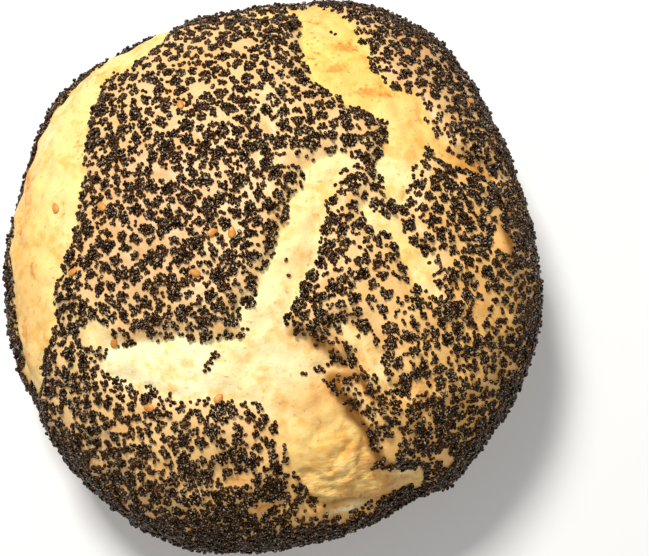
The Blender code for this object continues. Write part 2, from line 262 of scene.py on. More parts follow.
# %% Shelves of torn dough
# Each stands high on the left hand of its path: half of the step, how far the unevenness
# reaches, and the path
SHELVES = (
    (0.35, 2.6, ((1, -65.5), (6, -66.5), (12, -66.4), (17, -63.5))),
    (0.45, 2.6, ((2, -71.5), (10, -73.4), (14.5, -71.6), (20, -73.8))),
    (1.00, 2.4, ((2, -74.2), (8, -76.8), (13, -78.8), (25, -81.4))),
    (0.70, 2.2, ((27, -85.0), (17, -84.0), (10, -81.8), (4, -78.8))),
    (0.70, 2.4, ((23, -72.5), (27, -73), (32, -75), (36, -79))),
)
SHELF_BRINK = 0.7
SHELF_END = 2.0


def shelf(place, step, reach, path):
    """One torn shelf: the hyperbolic tangent of the distance across the nearest leg of its
    path, which dies away by exponentials to both sides and past the path's ends."""
    nearest = np.full(len(place), np.inf)
    height = np.zeros(len(place))
    for start, end in zip(path, path[1:]):
        run = np.subtract(end, start)
        length = math.hypot(*run)
        offset = place - start
        along = offset @ run / length
        across = (run[0] * offset[:, 1] - run[1] * offset[:, 0]) / length
        beyond = along - np.clip(along, 0.0, length)
        own = step * np.tanh(across / SHELF_BRINK) * np.exp(-np.abs(across) / reach)
        own *= np.exp(-((beyond / SHELF_END) ** 2))
        gap = np.hypot(across, beyond)
        height = np.where(gap < nearest, own, height)
        nearest = np.minimum(nearest, gap)
    return height


print(len(SHELVES), "shelves, the highest with a step of", 2 * max(row[0] for row in SHELVES), "mm")

# %% Skin, dough and form together
SKIN_RISE = 2.0
SKIN_EDGE = 6.0
DOUGH_BULGE = 0.7
DOUGH_BULGE_WIDTH = 3.0

# How the width of the skin's edge changes: x, y, reach, change
EDGE_CHANGES = (
    (8, -36, 9, -2.6), (18, -56, 14, -2.4), (35, -10, 12, -3.0), (22, -38, 7, -1.4),
    (60, 16, 12, -3.0), (40, 12, 8, -1.5),
)
WALL_NARROWING = 2.4
WALL_CURVE = 1.7


def edge_width(place):
    """Width of the skin's rounded edge, and how far that edge is a wall: 0 to 1."""
    narrowing = swells(place, EDGE_CHANGES)
    return SKIN_EDGE + narrowing, np.clip(-narrowing / WALL_NARROWING, 0.0, 1.0)


def main_relief(place, edge):
    """The solid's own relief: risen skin, bulging dough, swells, folds and shelves. The
    skin's edge is a quarter wave, or on a wall a power that ends in a sharp brink."""
    rise = SKIN_RISE + swells(place, SKIN_SWELLS)
    width, wall = edge_width(place)
    share = np.clip(edge / width, 0.0, 1.0)
    climb = np.sin(share * math.pi / 2)
    skin = rise * (climb + (share**WALL_CURVE - climb) * wall)
    dough = DOUGH_BULGE * (1.0 - np.exp(np.minimum(edge, 0.0) / DOUGH_BULGE_WIDTH))
    form = swells(place, FORM_SWELLS) + side_folds(place)
    form += sum(shelf(place, *values) for values in SHELVES)
    return skin + dough - SKIN_RISE + form


print("relief at the crown:", round(float(main_relief(CROWN, edge_distance(CROWN))[0]), 2), "mm")

# %% [markdown]
# ## Unevenness too fine for the solid
# Baked dough has soft lumps, wrinkles and creases, most of all where it tore, and the
# high petal beside the widest split leans out over it. They could be sculpted by hand.
# A sum of many plane waves is as uneven as dough and gives the same loaf on every run,
# and the lean slides the skin's edge sideways before the relief is added.

# %% Uneven fields
def waves(points, shortest, longest, count, seed):
    """Uneven field of spread 1: plane waves of random heading, length and start."""
    draw = np.random.default_rng(seed)
    heading = draw.normal(size=(count, points.shape[1]))
    heading /= np.linalg.norm(heading, axis=1, keepdims=True)
    length = draw.uniform(shortest, longest, (count, 1))
    start = draw.uniform(0.0, 2.0 * math.pi, count)
    phase = points @ (heading / length * 2.0 * math.pi).T + start
    return np.sin(phase).sum(axis=1) / math.sqrt(count / 2.0)


def uneven(points, table):
    """Sum of uneven fields, each with its own height."""
    return sum(height * waves(points, *field) for height, *field in table)


def stretched_gap(place, x, y, reach_x, reach_y):
    """Sum of the squares of the distances along x and along y, each over its own reach."""
    return ((place[:, 0] - x) / reach_x) ** 2 + ((place[:, 1] - y) / reach_y) ** 2


def patches(place, table):
    """Sum of bell curves stretched along x and y, one for each patch of a table."""
    total = np.zeros(len(place))
    for x, y, reach_x, reach_y, amount in table:
        total += amount * np.exp(-stretched_gap(place, x, y, reach_x, reach_y))
    return np.clip(total, 0.0, 1.0)


print("one field at the crown:", round(float(waves(dome(CROWN), 4.0, 8.0, 16, 25)[0]), 2))

# %% Lumps and creases
# Height, shortest and longest wave, number of waves, seed of each field
SKIN_LUMPS = ((0.22, 9.0, 18.0, 24, 21), (0.08, 3.0, 5.0, 24, 22))
DOUGH_LUMPS = ((0.26, 6.0, 12.0, 24, 23), (0.07, 2.6, 4.5, 24, 24))
FOLDING = ((1.0, 4.0, 8.0, 16, 25),)
FOLDING_SQUEEZE = (0.45, 1.0, 1.0)
CREASE_WIDTH = 0.22
CREASE_DEPTH = 0.45
FINE_BLEND = 2.0

# Where the dough tore and crumpled: x, y, reach along x, reach along y, how much
CRUMPLED = ((13, -68, 18, 16, 1.0),)
CRUMPLED_LUMPS = 0.9
QUIET_CREASES = 0.25


def fine_relief(place, edge):
    """Soft lumps on skin and dough, and creases along the lines where a field of the
    dough passes through 0: a bell curve of the field's size over the crease's width."""
    spot = dome(place)
    bare = smooth_step(0.5 - edge / FINE_BLEND)
    folded = np.abs(uneven(spot * FOLDING_SQUEEZE, FOLDING))
    creases = -CREASE_DEPTH * np.exp(-((folded / CREASE_WIDTH) ** 2))
    torn = patches(place, CRUMPLED)
    dough = uneven(spot, DOUGH_LUMPS) * (1.0 + CRUMPLED_LUMPS * torn)
    dough += creases * (QUIET_CREASES + torn)
    return uneven(spot, SKIN_LUMPS) * (1.0 - bare) + dough * bare


print("the deepest crease is", round(CREASE_DEPTH * (1.0 + QUIET_CREASES), 2), "mm deep")

# %% The crust as a surface
# The petal beside the widest split leans over it: x, y, reach, lean
LEANS = ((3, -31, 5, 0.5), (9, -35, 5, 0.5), (13, -47, 7, 0.7), (18, -57, 8, 0.8), (21, -67, 6, 0.6))
LEAN_FADE = 2.5
BASE_FADE = 20.0


def edge_slope(place, step=0.3):
    """How fast the distance from the skin's edge grows along x and along y."""
    slope_x = edge_distance(place + (step, 0.0)) - edge_distance(place - (step, 0.0))
    slope_y = edge_distance(place + (0.0, step)) - edge_distance(place - (0.0, step))
    return np.stack([slope_x, slope_y], axis=1) / (2.0 * step)


def crust(place):
    """The finished crust: the dome moved along its outward direction by all the relief,
    and near the high petal's edge also sideways, out over the split."""
    edge = edge_distance(place)
    height = main_relief(place, edge) + fine_relief(place, edge)
    reach = np.hypot(place[:, 0], place[:, 1])
    height *= smooth_step((CRUST_REACH - reach) / BASE_FADE)
    width, _ = edge_width(place)
    near_brink = np.clip(edge / width, 0.0, 1.0) ** 2
    near_brink *= np.exp(-np.maximum(edge - width, 0.0) / LEAN_FADE)
    lean = swells(place, LEANS) * near_brink
    moved = place - edge_slope(place) * lean[:, None]
    return dome(moved) + outward(dome, moved) * height[:, None]


print("the crown of the finished crust is", round(float(crust(CROWN)[0, 2]), 1), "mm high")

# %% [markdown]
# ## The crust as one mesh
# A dome made of rings and spokes crowds its points at the crown. A square sheet whose
# square rings are bent into circles keeps its cells even, so it is used here, with finer
# rings on top than down the side. The flat base closes it with a fan of triangles.

# %% The sheet
RINGS = 156
FINE_RINGS = 132
FINE_REACH = 98.0


def map_from_sheet(rings):
    """Places on the map for a square sheet: the larger coordinate becomes the distance
    from the crown, and the smaller one a share of the quarter turn round it."""
    line = np.arange(-rings, rings + 1)
    x, y = (side.ravel().astype(float) for side in np.meshgrid(line, line))
    ring = np.maximum(np.abs(x), np.abs(y))
    safe = np.where(ring > 0.0, ring, 1.0)
    wide = np.abs(x) >= np.abs(y)
    turn = np.where(wide, y, x) / safe * math.pi / 4
    angle = np.where(wide, turn, math.pi / 2 - turn)
    sign = np.where(wide, np.sign(x), np.sign(y))
    angle = np.where(sign < 0.0, np.where(wide, math.pi - turn, turn - math.pi / 2), angle)
    reach = np.interp(ring, (0, FINE_RINGS, rings), (0.0, FINE_REACH, CRUST_REACH))
    return np.stack([reach * np.cos(angle), reach * np.sin(angle)], axis=1), ring == rings


def sheet_faces(rings):
    """Four corner numbers for each cell of the sheet, anticlockwise seen from above."""
    side = 2 * rings + 1
    corner = np.arange(side * side).reshape(side, side)
    cells = (corner[:-1, :-1], corner[:-1, 1:], corner[1:, 1:], corner[1:, :-1])
    return np.stack(cells, axis=-1).reshape(-1, 4)


def border_ring(rings):
    """Numbers of the sheet's border points, in order round the loaf."""
    side = 2 * rings + 1
    corner = np.arange(side * side).reshape(side, side)
    parts = (corner[0, :-1], corner[:-1, -1], corner[-1, :0:-1], corner[:0:-1, 0])
    return np.concatenate(parts)


crust_map, on_border = map_from_sheet(RINGS)
print("the sheet has", len(crust_map), "points,", int(on_border.sum()), "of them on its border")

# %% The crust piece
def piece_from(name, points, *blocks):
    """An object from points in mm and blocks of faces, each an array of corner numbers."""
    mesh = bpy.data.meshes.new(name)
    sizes = np.concatenate([np.full(len(block), block.shape[1]) for block in blocks])
    mesh.vertices.add(len(points))
    mesh.vertices.foreach_set("co", np.ascontiguousarray(points * MM, dtype=np.float32).ravel())
    mesh.loops.add(int(sizes.sum()))
    corners = np.concatenate([block.ravel() for block in blocks]).astype(np.int32)
    mesh.loops.foreach_set("vertex_index", corners)
    mesh.polygons.add(len(sizes))
    mesh.polygons.foreach_set("loop_start", (np.cumsum(sizes) - sizes).astype(np.int32))
    mesh.update(calc_edges=True)
    mesh.validate()
    mesh.shade_smooth()
    piece = bpy.data.objects.new(name, mesh)
    bpy.context.scene.collection.objects.link(piece)
    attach(piece, "root")
    print(name, "has", len(points), "points and", int((sizes - 2).sum()), "triangles")
    return piece


crust_points = crust(crust_map)

# The border lies in the plane that the loaf stands on
crust_points[on_border, 2] = 0.0

# The solid stands with the middle of its box on the frame's axis, so the crust is moved there
own_middle = (crust_points.min(axis=0) + crust_points.max(axis=0)) / 2
solid_middle = (loaf_low + loaf_high) / 2
TO_FRAME = np.array((solid_middle[0] - own_middle[0], solid_middle[1] - own_middle[1], 0.0))

ring_numbers = border_ring(RINGS)
base_centre = np.array([[0.0, 0.0, 0.0]])
fan = np.stack(
    [np.roll(ring_numbers, -1), ring_numbers, np.full(len(ring_numbers), len(crust_points))],
    axis=1,
)
crust_piece = piece_from(
    "crust", np.concatenate([crust_points, base_centre]) + TO_FRAME, sheet_faces(RINGS), fan
)
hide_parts("loaf")
print("moved by", np.round(TO_FRAME, 2), "mm to stand where the solid stands")

# %% [markdown]
# ## Colours that lie on the crust
# Dough that split late is cream, dough that split early had time to brown, and the skin
# is darkest where it bulges. One way is to paint an image, but an image ties the loaf to
# its file. Here each point of the mesh stores a blend of a few named doughs instead, by
# how near it lies to each split, how bare and torn the crust is there, and where browning
# and painted shade are laid: on the leaning petal's steep side, in a crease and between
# torn shelves.

# %% Dough
def from_screen(red, green, blue):
    """Linear colour from screen values of 0 to 255: the usual 2.4 power with its toe."""
    value = np.array((red, green, blue)) / 255.0
    return np.where(value <= 0.04045, value / 12.92, ((value + 0.055) / 1.055) ** 2.4)


DOUGH = {
    "cream": from_screen(252, 240, 188),
    "straw": from_screen(248, 224, 158),
    "pale": from_screen(246, 214, 138),
    "gold": from_screen(246, 206, 122),
    "honey": from_screen(247, 206, 108),
    "amber": from_screen(230, 170, 84),
    "crumb": from_screen(204, 160, 98),
    # A dark brown laid as painted shade in the trough between torn shelves
    "toast_and_shade": from_screen(150, 98, 42),
}
SPLIT_DOUGH = {
    "to_crown": "straw",
    "to_left": "cream",
    "to_lower_right": "gold",
    "lower_rim": "gold",
    "upper": "honey",
    "upper_to_right": "amber",
    "upper_to_middle": "straw",
    "upper_rim": "gold",
    "left_side": "pale",
    "right_crack": "straw",
    "lower_crack": "straw",
    # The notch is laid amber: browning and painted shade under the lobe above it
    "notch": "amber",
}
DOUGH_BLEND = 6.0
LEAST_SHARE = 1e-6


def dough_colour(place):
    """Mean of the splits' doughs, each weighed by the bell curve of its distance."""
    total = np.zeros((len(place), 3))
    weight = np.zeros((len(place), 1))
    for name, path in SPLITS.items():
        gap = np.maximum(gap_from_path(place, path), 0.0)[:, None]
        share = np.exp(-((gap / DOUGH_BLEND) ** 2)) + LEAST_SHARE
        total += share * DOUGH[SPLIT_DOUGH[name]]
        weight += share
    return total / weight


def to_screen(colour):
    """Screen values of 0 to 255 for a linear colour, by the power alone."""
    return np.round(255.0 * np.clip(colour, 0.0, 1.0) ** (1.0 / 2.2)).astype(int).tolist()


print("bare dough beside the crown shows as about", to_screen(dough_colour(CROWN)[0]))

# %% Skin
SKIN_PALE = from_screen(232, 192, 132)
SKIN_TAN = from_screen(238, 186, 106)
SKIN_BROWN = from_screen(178, 120, 60)
SKIN_SHADED = from_screen(198, 150, 100)
TAN_HEADING = np.array((0.6, -0.8))
TAN_START = 10.0
TAN_RUN = 90.0
SIDE_START = 74.0
SIDE_RUN = 30.0
SIDE_SHARE = 0.7

# Skin painted darker and duller: x, y, reach, share
SHADED_SKIN = ((-30, 16, 20, 0.5), (54, 50, 18, 0.6), (-34, -10, 14, 0.3))

# Skin that stayed pale: x, y, reach, share
PALE_SKIN = ((-50, -20, 6, 0.8),)


def skin_colour(place):
    """Pale skin at the upper left, tan to the lower right, brown down the side."""
    tan = smooth_step((place @ TAN_HEADING + TAN_START) / TAN_RUN)[:, None]
    reach = np.hypot(place[:, 0], place[:, 1])
    side = smooth_step((reach - SIDE_START) / SIDE_RUN)[:, None]
    tone = SKIN_PALE + (SKIN_TAN - SKIN_PALE) * tan
    tone = tone + (SKIN_SHADED - tone) * np.clip(swells(place, SHADED_SKIN), 0.0, 1.0)[:, None]
    tone = tone + (DOUGH["straw"] - tone) * np.clip(swells(place, PALE_SKIN), 0.0, 1.0)[:, None]
    return tone + (SKIN_BROWN - tone) * side * SIDE_SHARE


print("skin on the crown shows as about", to_screen(skin_colour(CROWN)[0]))

# %% Stains, browning and torn places
# Dough laid bare in another tone, and painted shade in the trough between torn shelves:
# x, y, reach along x, reach along y, share, its name
STAINS = (
    (-62, 26, 14, 18, 0.5, "gold"), (-70, 0, 10, 16, 0.5, "gold"), (5, -47, 7, 6, 0.75, "amber"),
    (4, 4, 6, 8, 0.3, "gold"), (-48, 58, 8, 8, -0.4, "gold"), (8, -8, 4, 3, 0.5, "crumb"),
    (8, -75, 8, 1.6, 0.2, "crumb"), (27, -77, 9, 3.4, 0.7, "crumb"), (10, -79.5, 8, 1.4, 0.8, "toast_and_shade"),
    (22, -81, 6, 1.4, 0.7, "toast_and_shade"), (13, -83, 8, 1.2, 1.0, "cream"),
    (39, -84.5, 2.4, 1.6, 1.0, "honey"), (29, -73, 4, 1.2, 0.8, "cream"),
    # The first stain of this row is browning and painted shade on the notch's downward wall
    (3, -33, 4, 3, 0.7, "amber"), (-2, -36, 7, 6, 0.8, "cream"), (-1, -22, 5, 7, 0.5, "cream"),
    (45, 24, 8, 7, 0.5, "honey"), (36, -10, 8, 9, 0.9, "gold"), (34, 14, 5, 5, 0.3, "cream"),
    (-76, -5, 7, 18, 0.5, "amber"), (-74, 30, 5, 18, 0.5, "amber"), (-58, 22, 5, 12, 0.2, "cream"),
    (-62, 46, 5, 8, 0.4, "cream"), (-66, 14, 5, 10, 0.4, "gold"), (29, 40, 6, 6, 0.4, "amber"),
    (24, 62, 4, 5, 0.3, "straw"),
)

# Browned patches, and painted shade in the crease by the upper right split and in the
# trough between torn shelves: x, y, reach along x, reach along y, how brown
BROWNED_AND_SHADED_PATCHES = (
    (30, 54, 4, 3, 1.1), (26, 46, 3.4, 2.4, 1.1), (32, 37, 4, 2, 1.0), (39, 36, 4, 1.4, 0.9),
    (21, 60, 3, 6, 0.5), (-71, 30, 3, 12, 0.6), (-74, 19, 2, 4, 0.7), (-70, 3, 1.6, 3, 1.0),
    (-68, -6, 3, 2, 0.5), (-78, -14, 2.4, 5, 0.9), (-83, -23, 2, 6, 1.0), (-74, 38, 1.6, 8, 0.9),
    (-47, 63, 6, 3, 0.7), (-50, 36, 2, 6, 0.6), (-56, 16, 2, 5, 0.4), (-62, -4, 2, 6, 0.4),
    (66, -10, 3.0, 5.0, 0.3), (54, -28, 3, 3, 0.4), (34, -47, 4, 3, 0.5), (41, -46, 3, 3, 0.5),
    (-38, -41, 2.5, 1, 0.5), (-17, -64, 5, 2, 0.7), (-11, -74, 7, 2, 0.8), (58, 17, 6, 2.2, 0.7),
    (10, -81, 7, 2, 0.4), (26, -79, 8, 2.4, 0.6), (52, 20, 4, 2, 0.4), (24, 68, 4, 2, 0.6),
    (20, 52, 2.4, 4, 0.5), (37, 46, 2.4, 3, 0.7),
)

# The blister's side, darkened with the same colour as the leaning petal's steep side: x, y,
# reach along x, reach along y, how dark
DARK_SIDES = ((67.8, -9.6, 1.5, 4.6, 1.7),)

# Where the dough is torn into flakes: x, y, reach, how rough
TORN = ((8, -74, 10, 0.9), (25, -77, 10, 0.9), (14, -64, 8, 0.4), (37, -82, 5, 0.6))


def stained(place, tone):
    """The tone, moved towards each stain's own by a stretched bell curve of its distance."""
    for x, y, reach_x, reach_y, share, name in STAINS:
        near = np.exp(-stretched_gap(place, x, y, reach_x, reach_y))[:, None]
        tone = tone + (DOUGH[name] - tone) * share * near
    return tone


print(len(STAINS), "stains,", len(BROWNED_AND_SHADED_PATCHES), "browned patches,", len(TORN), "torn places")

# %% Painting the crust
BARE_START = 1.0
BARE_BLEND = 3.0
# How the browning and painted shade on the leaning petal's steep side spreads
LEDGE_LEAN = 0.5
LEDGE_START = 1.5
LEDGE_RUN = 1.0
LEDGE_STRENGTH = 1.35
LEDGE_END = 0.8


def paint(piece, name, values):
    """Stores one number or one colour for each point, for the piece's material to read."""
    colour = values.ndim == 2
    layer = piece.data.attributes.new(name, "FLOAT_COLOR" if colour else "FLOAT", "POINT")
    if colour:
        values = np.concatenate([values, np.ones((len(values), 1))], axis=1)
    layer.data.foreach_set("color" if colour else "value", values.astype(np.float32).ravel())


def ledge_shade(place, edge):
    """How much browning and painted shade the steep side of the leaning petal takes: it
    rises with the lean and towards the brink, and ends just past it."""
    width, _ = edge_width(place)
    shade = np.clip(swells(place, LEANS) / LEDGE_LEAN, 0.0, 1.0)
    shade *= smooth_step((edge + LEDGE_START) / (width + LEDGE_RUN))
    shade = np.clip(shade * LEDGE_STRENGTH, 0.0, 1.0)
    return shade * (1.0 - smooth_step((edge - width) / LEDGE_END))


def paint_crust(piece, place):
    """Stores the crust's colour, how bare and torn it is, and where browning and painted shade are
    laid, everywhere.
    """
    edge = edge_distance(place)
    bare = smooth_step(0.5 - (edge - BARE_START) / BARE_BLEND)
    skin = skin_colour(place)
    layers = {
        "tone": skin + (stained(place, dough_colour(place)) - skin) * bare[:, None],
        "bare": bare,
        "browning_and_shade": patches(place, BROWNED_AND_SHADED_PATCHES),
        "ledge_brown_and_shade": np.maximum(ledge_shade(place, edge), patches(place, DARK_SIDES)),
        "torn": np.clip(swells(place, TORN), 0.0, 1.0) * bare,
    }
    for name, values in layers.items():
        paint(piece, name, values)
    return layers


# The middle of the base, which comes last, takes the colours of the foot
crust_layers = paint_crust(crust_piece, np.concatenate([crust_map, [[CRUST_REACH, 0.0]]]))
print("the crust carries", ", ".join(crust_layers))

# %% [markdown]
# ## Poppy seeds
# A poppy seed is a kidney about a millimetre long. The loaf wears tens of thousands of
# them, so a seed may have only a few dozen faces, and all the seeds of one shade are one
# mesh. A particle system could scatter them, but its instances would be lost later. The
# scattering is done in arrays: one small seed is repeated at every place at once.

# %% One seed
def seed_shape(length, width, thickness, bend, taper, rings, spokes):
    """A closed seed: rings of points round its length, with a pole at each end.

    Half width is the sine of the angle along the seed, less the taper towards one end,
    and the middle line bows sideways by the square of the distance from the centre.
    """
    along = np.linspace(0.0, math.pi, rings + 2)[1:-1]
    round_it = np.arange(spokes) * 2.0 * math.pi / spokes
    u, v = np.meshgrid(along, round_it, indexing="ij")
    narrow = 1.0 - taper * (0.5 - np.cos(u) / 2.0)
    x = -np.cos(u) * length / 2
    y = np.sin(u) * np.cos(v) * width / 2 * narrow
    z = np.sin(u) * np.sin(v) * thickness / 2 * narrow
    points = np.stack([x.ravel(), y.ravel(), z.ravel()], axis=1)
    poles = np.array([[-length / 2, 0.0, 0.0], [length / 2, 0.0, 0.0]])
    points = np.concatenate([points, poles])
    points[:, 1] += bend * (points[:, 0] / (length / 2)) ** 2
    corner = np.arange(rings * spokes).reshape(rings, spokes)
    after = np.roll(corner, -1, axis=1)
    walls = np.stack([corner[:-1], after[:-1], after[1:], corner[1:]], axis=-1).reshape(-1, 4)
    first, last = rings * spokes, rings * spokes + 1
    start = np.stack([after[0], corner[0], np.full(spokes, first)], axis=-1)
    end = np.stack([corner[-1], after[-1], np.full(spokes, last)], axis=-1)
    return points, walls, np.concatenate([start, end])


POPPY = seed_shape(
    length=1.32, width=1.14, thickness=1.02, bend=0.10, taper=0.12, rings=3, spokes=5
)
print("a poppy seed has", len(POPPY[0]), "points and", 2 * len(POPPY[1]) + len(POPPY[2]), "triangles")

# %% [markdown]
# ## Islands of seeds
# Dough that swells pulls its coat of seeds apart into islands, with bare channels between
# them. Seeds strewn quite at random would leave no channels, and a painted mask would be
# a file to carry along. Here seeds are packed closely round scattered nuclei, and a seed
# stays where its own nucleus leads, being nearer than any other. The seeds with the least
# lead lie along the channels, so where the crust shows more skin, they are left out first.

# %% Even places on the loaf
GOLDEN_ANGLE = math.pi * (3.0 - math.sqrt(5.0))
TINY = 1e-6

# Area of the crust from the crown to each distance: a sum of rings, each its middle
# circumference times its width
CRUST_AREA = np.concatenate(
    [[0.0], np.cumsum(math.pi * (RADIUS[1:] + RADIUS[:-1]) * np.diff(ALONG))]
)


def even_places(spacing, lowest, jitter, seed):
    """Places a set distance apart: the golden angle round the loaf, with equal shares of
    its area from the crown outwards, each moved a little at random."""
    cell = spacing**2 * math.sqrt(3.0) / 2
    count = int(np.interp(lowest, ALONG, CRUST_AREA) / cell)
    reach = np.interp((np.arange(count) + 0.5) * cell, CRUST_AREA, ALONG)
    angle = np.arange(count) * GOLDEN_ANGLE
    place = np.stack([reach * np.cos(angle), reach * np.sin(angle)], axis=1)
    draw = np.random.default_rng(seed)
    return place + draw.normal(0.0, jitter, place.shape)


def patch_round(centre, offset):
    """Places on the map at true offsets from a centre. The map is stretched round the
    loaf by its own reach over the loaf's radius, so that part of the offset is too."""
    reach = np.linalg.norm(centre, axis=1)
    away = centre / np.maximum(reach, TINY)[:, None]
    round_it = np.stack([-away[:, 1], away[:, 0]], axis=1)
    stretch = reach / np.maximum(np.interp(reach, ALONG, RADIUS), TINY)
    stretch = np.maximum(stretch, 1.0)[:, None, None]
    moved = centre[:, None] + offset[..., :1] * away[:, None]
    return moved + offset[..., 1:] * stretch * round_it[:, None]


print("the crust has", round(float(CRUST_AREA[-1]) / 100.0), "square centimetres")

# %% Seeds packed into islands
SEED_SPACING = 1.0
SEED_JITTER = 0.07
SEED_LIMIT = 121.0
ISLAND_SPACING = 3.6
ISLAND_JITTER = 0.7
ISLAND_REACH = 4.2
ISLAND_SIZES = 0.9
ISLAND_SEED = 31
NEIGHBOURS = 12
FAR_AWAY = 1e3


def close_packed(spacing, reach):
    """Offsets of close-packed seeds: rows a root of three quarters of the spacing apart."""
    count = int(reach / spacing) + 2
    line = np.arange(-count, count + 1)
    i, j = (side.ravel() for side in np.meshgrid(line, line))
    offset = np.stack([(i + j / 2) * spacing, j * spacing * math.sqrt(0.75)], axis=1)
    return offset[np.linalg.norm(offset, axis=1) < reach]


def turned(offset, turn):
    """Offsets once for each turn: x cos less y sin, and x sin plus y cos."""
    cos, sin = np.cos(turn)[:, None], np.sin(turn)[:, None]
    x, y = offset[None, :, 0], offset[None, :, 1]
    return np.stack([x * cos - y * sin, x * sin + y * cos], axis=2)


def lead_of(place, nucleus, size):
    """How much nearer a seed's own nucleus is than the nearest other one, each distance
    less the size of that nucleus's island."""
    spot = dome(place.reshape(-1, 2)).reshape(*place.shape[:2], 3)
    middle = dome(nucleus)
    between = np.linalg.norm(middle[:, None] - middle[None], axis=2)
    near = np.argpartition(between, NEIGHBOURS, axis=1)[:, :NEIGHBOURS + 1]
    itself = near == np.arange(len(near))[:, None]
    others = np.where(itself[..., None], FAR_AWAY, middle[near])
    gap = np.linalg.norm(spot[:, :, None] - others[:, None], axis=3) - size[near][:, None]
    own = np.linalg.norm(spot - middle[:, None], axis=2) - size[:, None]
    return gap.min(axis=2) - own


def islands(seed):
    """Places of seeds packed round scattered nuclei, each with its lead, where it leads."""
    draw = np.random.default_rng(seed)
    nucleus = even_places(ISLAND_SPACING, SEED_LIMIT, ISLAND_JITTER, seed + 1)
    size = draw.uniform(-ISLAND_SIZES, ISLAND_SIZES, len(nucleus))
    turn = draw.uniform(0.0, math.pi, len(nucleus))
    offset = turned(close_packed(SEED_SPACING, ISLAND_REACH), turn)
    offset = offset + draw.normal(0.0, SEED_JITTER, offset.shape)
    place = patch_round(nucleus, offset)
    lead = lead_of(place, nucleus, size).ravel()
    return place.reshape(-1, 2)[lead > 0.0], lead[lead > 0.0]


seed_map, lead = islands(ISLAND_SEED)
print(len(seed_map), "places for seeds, packed into islands")

# %% How much of the skin is covered
COVER = 0.62
RIM_COVER = 0.99
RIM_START = 76.0
RIM_RUN = 30.0

# How the covered share of the skin changes: x, y, reach, change
COVER_CHANGES = (
    (26, -24, 11, -0.36), (28, 14, 14, 0.02), (-33, -14, 10, -0.01), (50, 40, 12, -0.04),
    (-20, 62, 20, -0.28), (42, -29, 7, 0.14), (29, -39, 6, 0.18), (39, -41, 6, -0.18),
    (-21, -50, 6, 0.20), (52, 32, 6, -0.30), (4, -79, 5, -0.45), (2, 48, 8, -0.18),
    (-34, 6, 7, -0.16), (-44, -9, 7, -0.14), (50, -52, 9, -0.15), (75, 11, 8, -0.16),
    (20, 33, 6, -0.14), (-14, -62, 6, 0.16),
    (10, -22, 9, 0.24), (38, -64, 14, 0.16), (-24, -76, 18, 0.30), (-22, 12, 12, 0.04),
    (-34, -46, 12, -0.12), (-10, -54, 9, -0.24), (54, -15, 14, -0.04), (66, -26, 12, -0.14),
)

# Bare spots on the skin: x, y, reach along x, reach along y
BARE_SPOTS = (
    (-13, 44, 2.2, 3.0), (4, 29, 1.5, 3.2), (-26, 20, 2.2, 2.4), (9, 18, 3.4, 1.6),
    (-22, 2, 1.8, 1.2), (-33, 23, 1.8, 1.0), (66, -10, 2.2, 4.6), (54, -29, 2.6, 3.2),
    (34, -47, 2.2, 1.4), (33, -20, 3.4, 1.0), (42, -16, 2.6, 1.2), (-38, -41, 2.6, 1.0),
    (-17, -64, 4.6, 1.6), (-11, -74, 6.0, 1.2), (-50, -20, 5.0, 3.0), (40, 10, 1.6, 3.0),
    (22, 30, 2.0, 1.6), (-4, -9, 1.4, 0.8), (44, -72, 2.0, 1.4), (38.5, -87, 1.8, 2.4),
)


def in_bare_spot(place):
    """True within any bare spot: the sum of squares of the stretched distances is under 1."""
    inside = np.zeros(len(place), dtype=bool)
    for x, y, reach_x, reach_y in BARE_SPOTS:
        inside |= stretched_gap(place, x, y, reach_x, reach_y) < 1.0
    return inside


def cover(place):
    """Share of the skin under seeds: the usual share, changed by place, more at the rim."""
    reach = np.hypot(place[:, 0], place[:, 1])
    share = COVER + swells(place, COVER_CHANGES)
    return share + (RIM_COVER - share) * smooth_step((reach - RIM_START) / RIM_RUN)


print("seeds cover", round(float(cover(CROWN)[0]), 2), "of the crown and", RIM_COVER, "of the foot")

# %% Which places hold a seed
DRAW_SEED = 5
MARGIN = 0.3
FOOT_THINNING = 9.0
LONE_SHARE = 0.04

# Height, shortest and longest wave, number of waves, seed
LEAD_STRAY = ((0.25, 4.0, 9.0, 24, 33),)
MARGIN_STRAY = ((0.6, 4.0, 8.0, 16, 41),)

# How the bare margin along the skin's edge changes: x, y, reach, change
BRINKS = (
    (-9, -22, 5, -2.5), (8, -34, 6, 2.0), (14, -50, 8, 2.8), (19, -63, 8, 2.8), (60, 20, 8, -0.8),
)

# Single seeds that strayed onto bare dough
STRAYS = np.array((
    (4, -13), (4, -9), (22, 34), (27, 61), (28, 60), (3.9, -39.3), (4.8, -39.7), (7.2, -38.6),
    (7.9, -39.3), (8.6, -38.3), (9.2, -39.1), (9.7, -39.9), (11.0, -38.0), (12.0, -37.6),
    (9.3, -42.0), (10.1, -42.8), (52, 24), (52, 23), (-18, -30), (-18.9, -30.3), (-17.4, -30.9),
    (-18.4, -31.2), (-19.4, -31.4), (-20.2, -32.2), (-20.9, -33.0), (-20.2, -34.0),
    (-21.3, -34.2), (-19.4, -32.6),
), dtype=float)

draw = np.random.default_rng(DRAW_SEED)
seed_spot = dome(seed_map)
lead += uneven(seed_spot, LEAD_STRAY)
margin = MARGIN + uneven(seed_spot, MARGIN_STRAY) + swells(seed_map, BRINKS)
to_limit = SEED_LIMIT - np.hypot(seed_map[:, 0], seed_map[:, 1])
thins_out = draw.uniform(size=len(seed_map)) < smooth_step(to_limit / FOOT_THINNING)

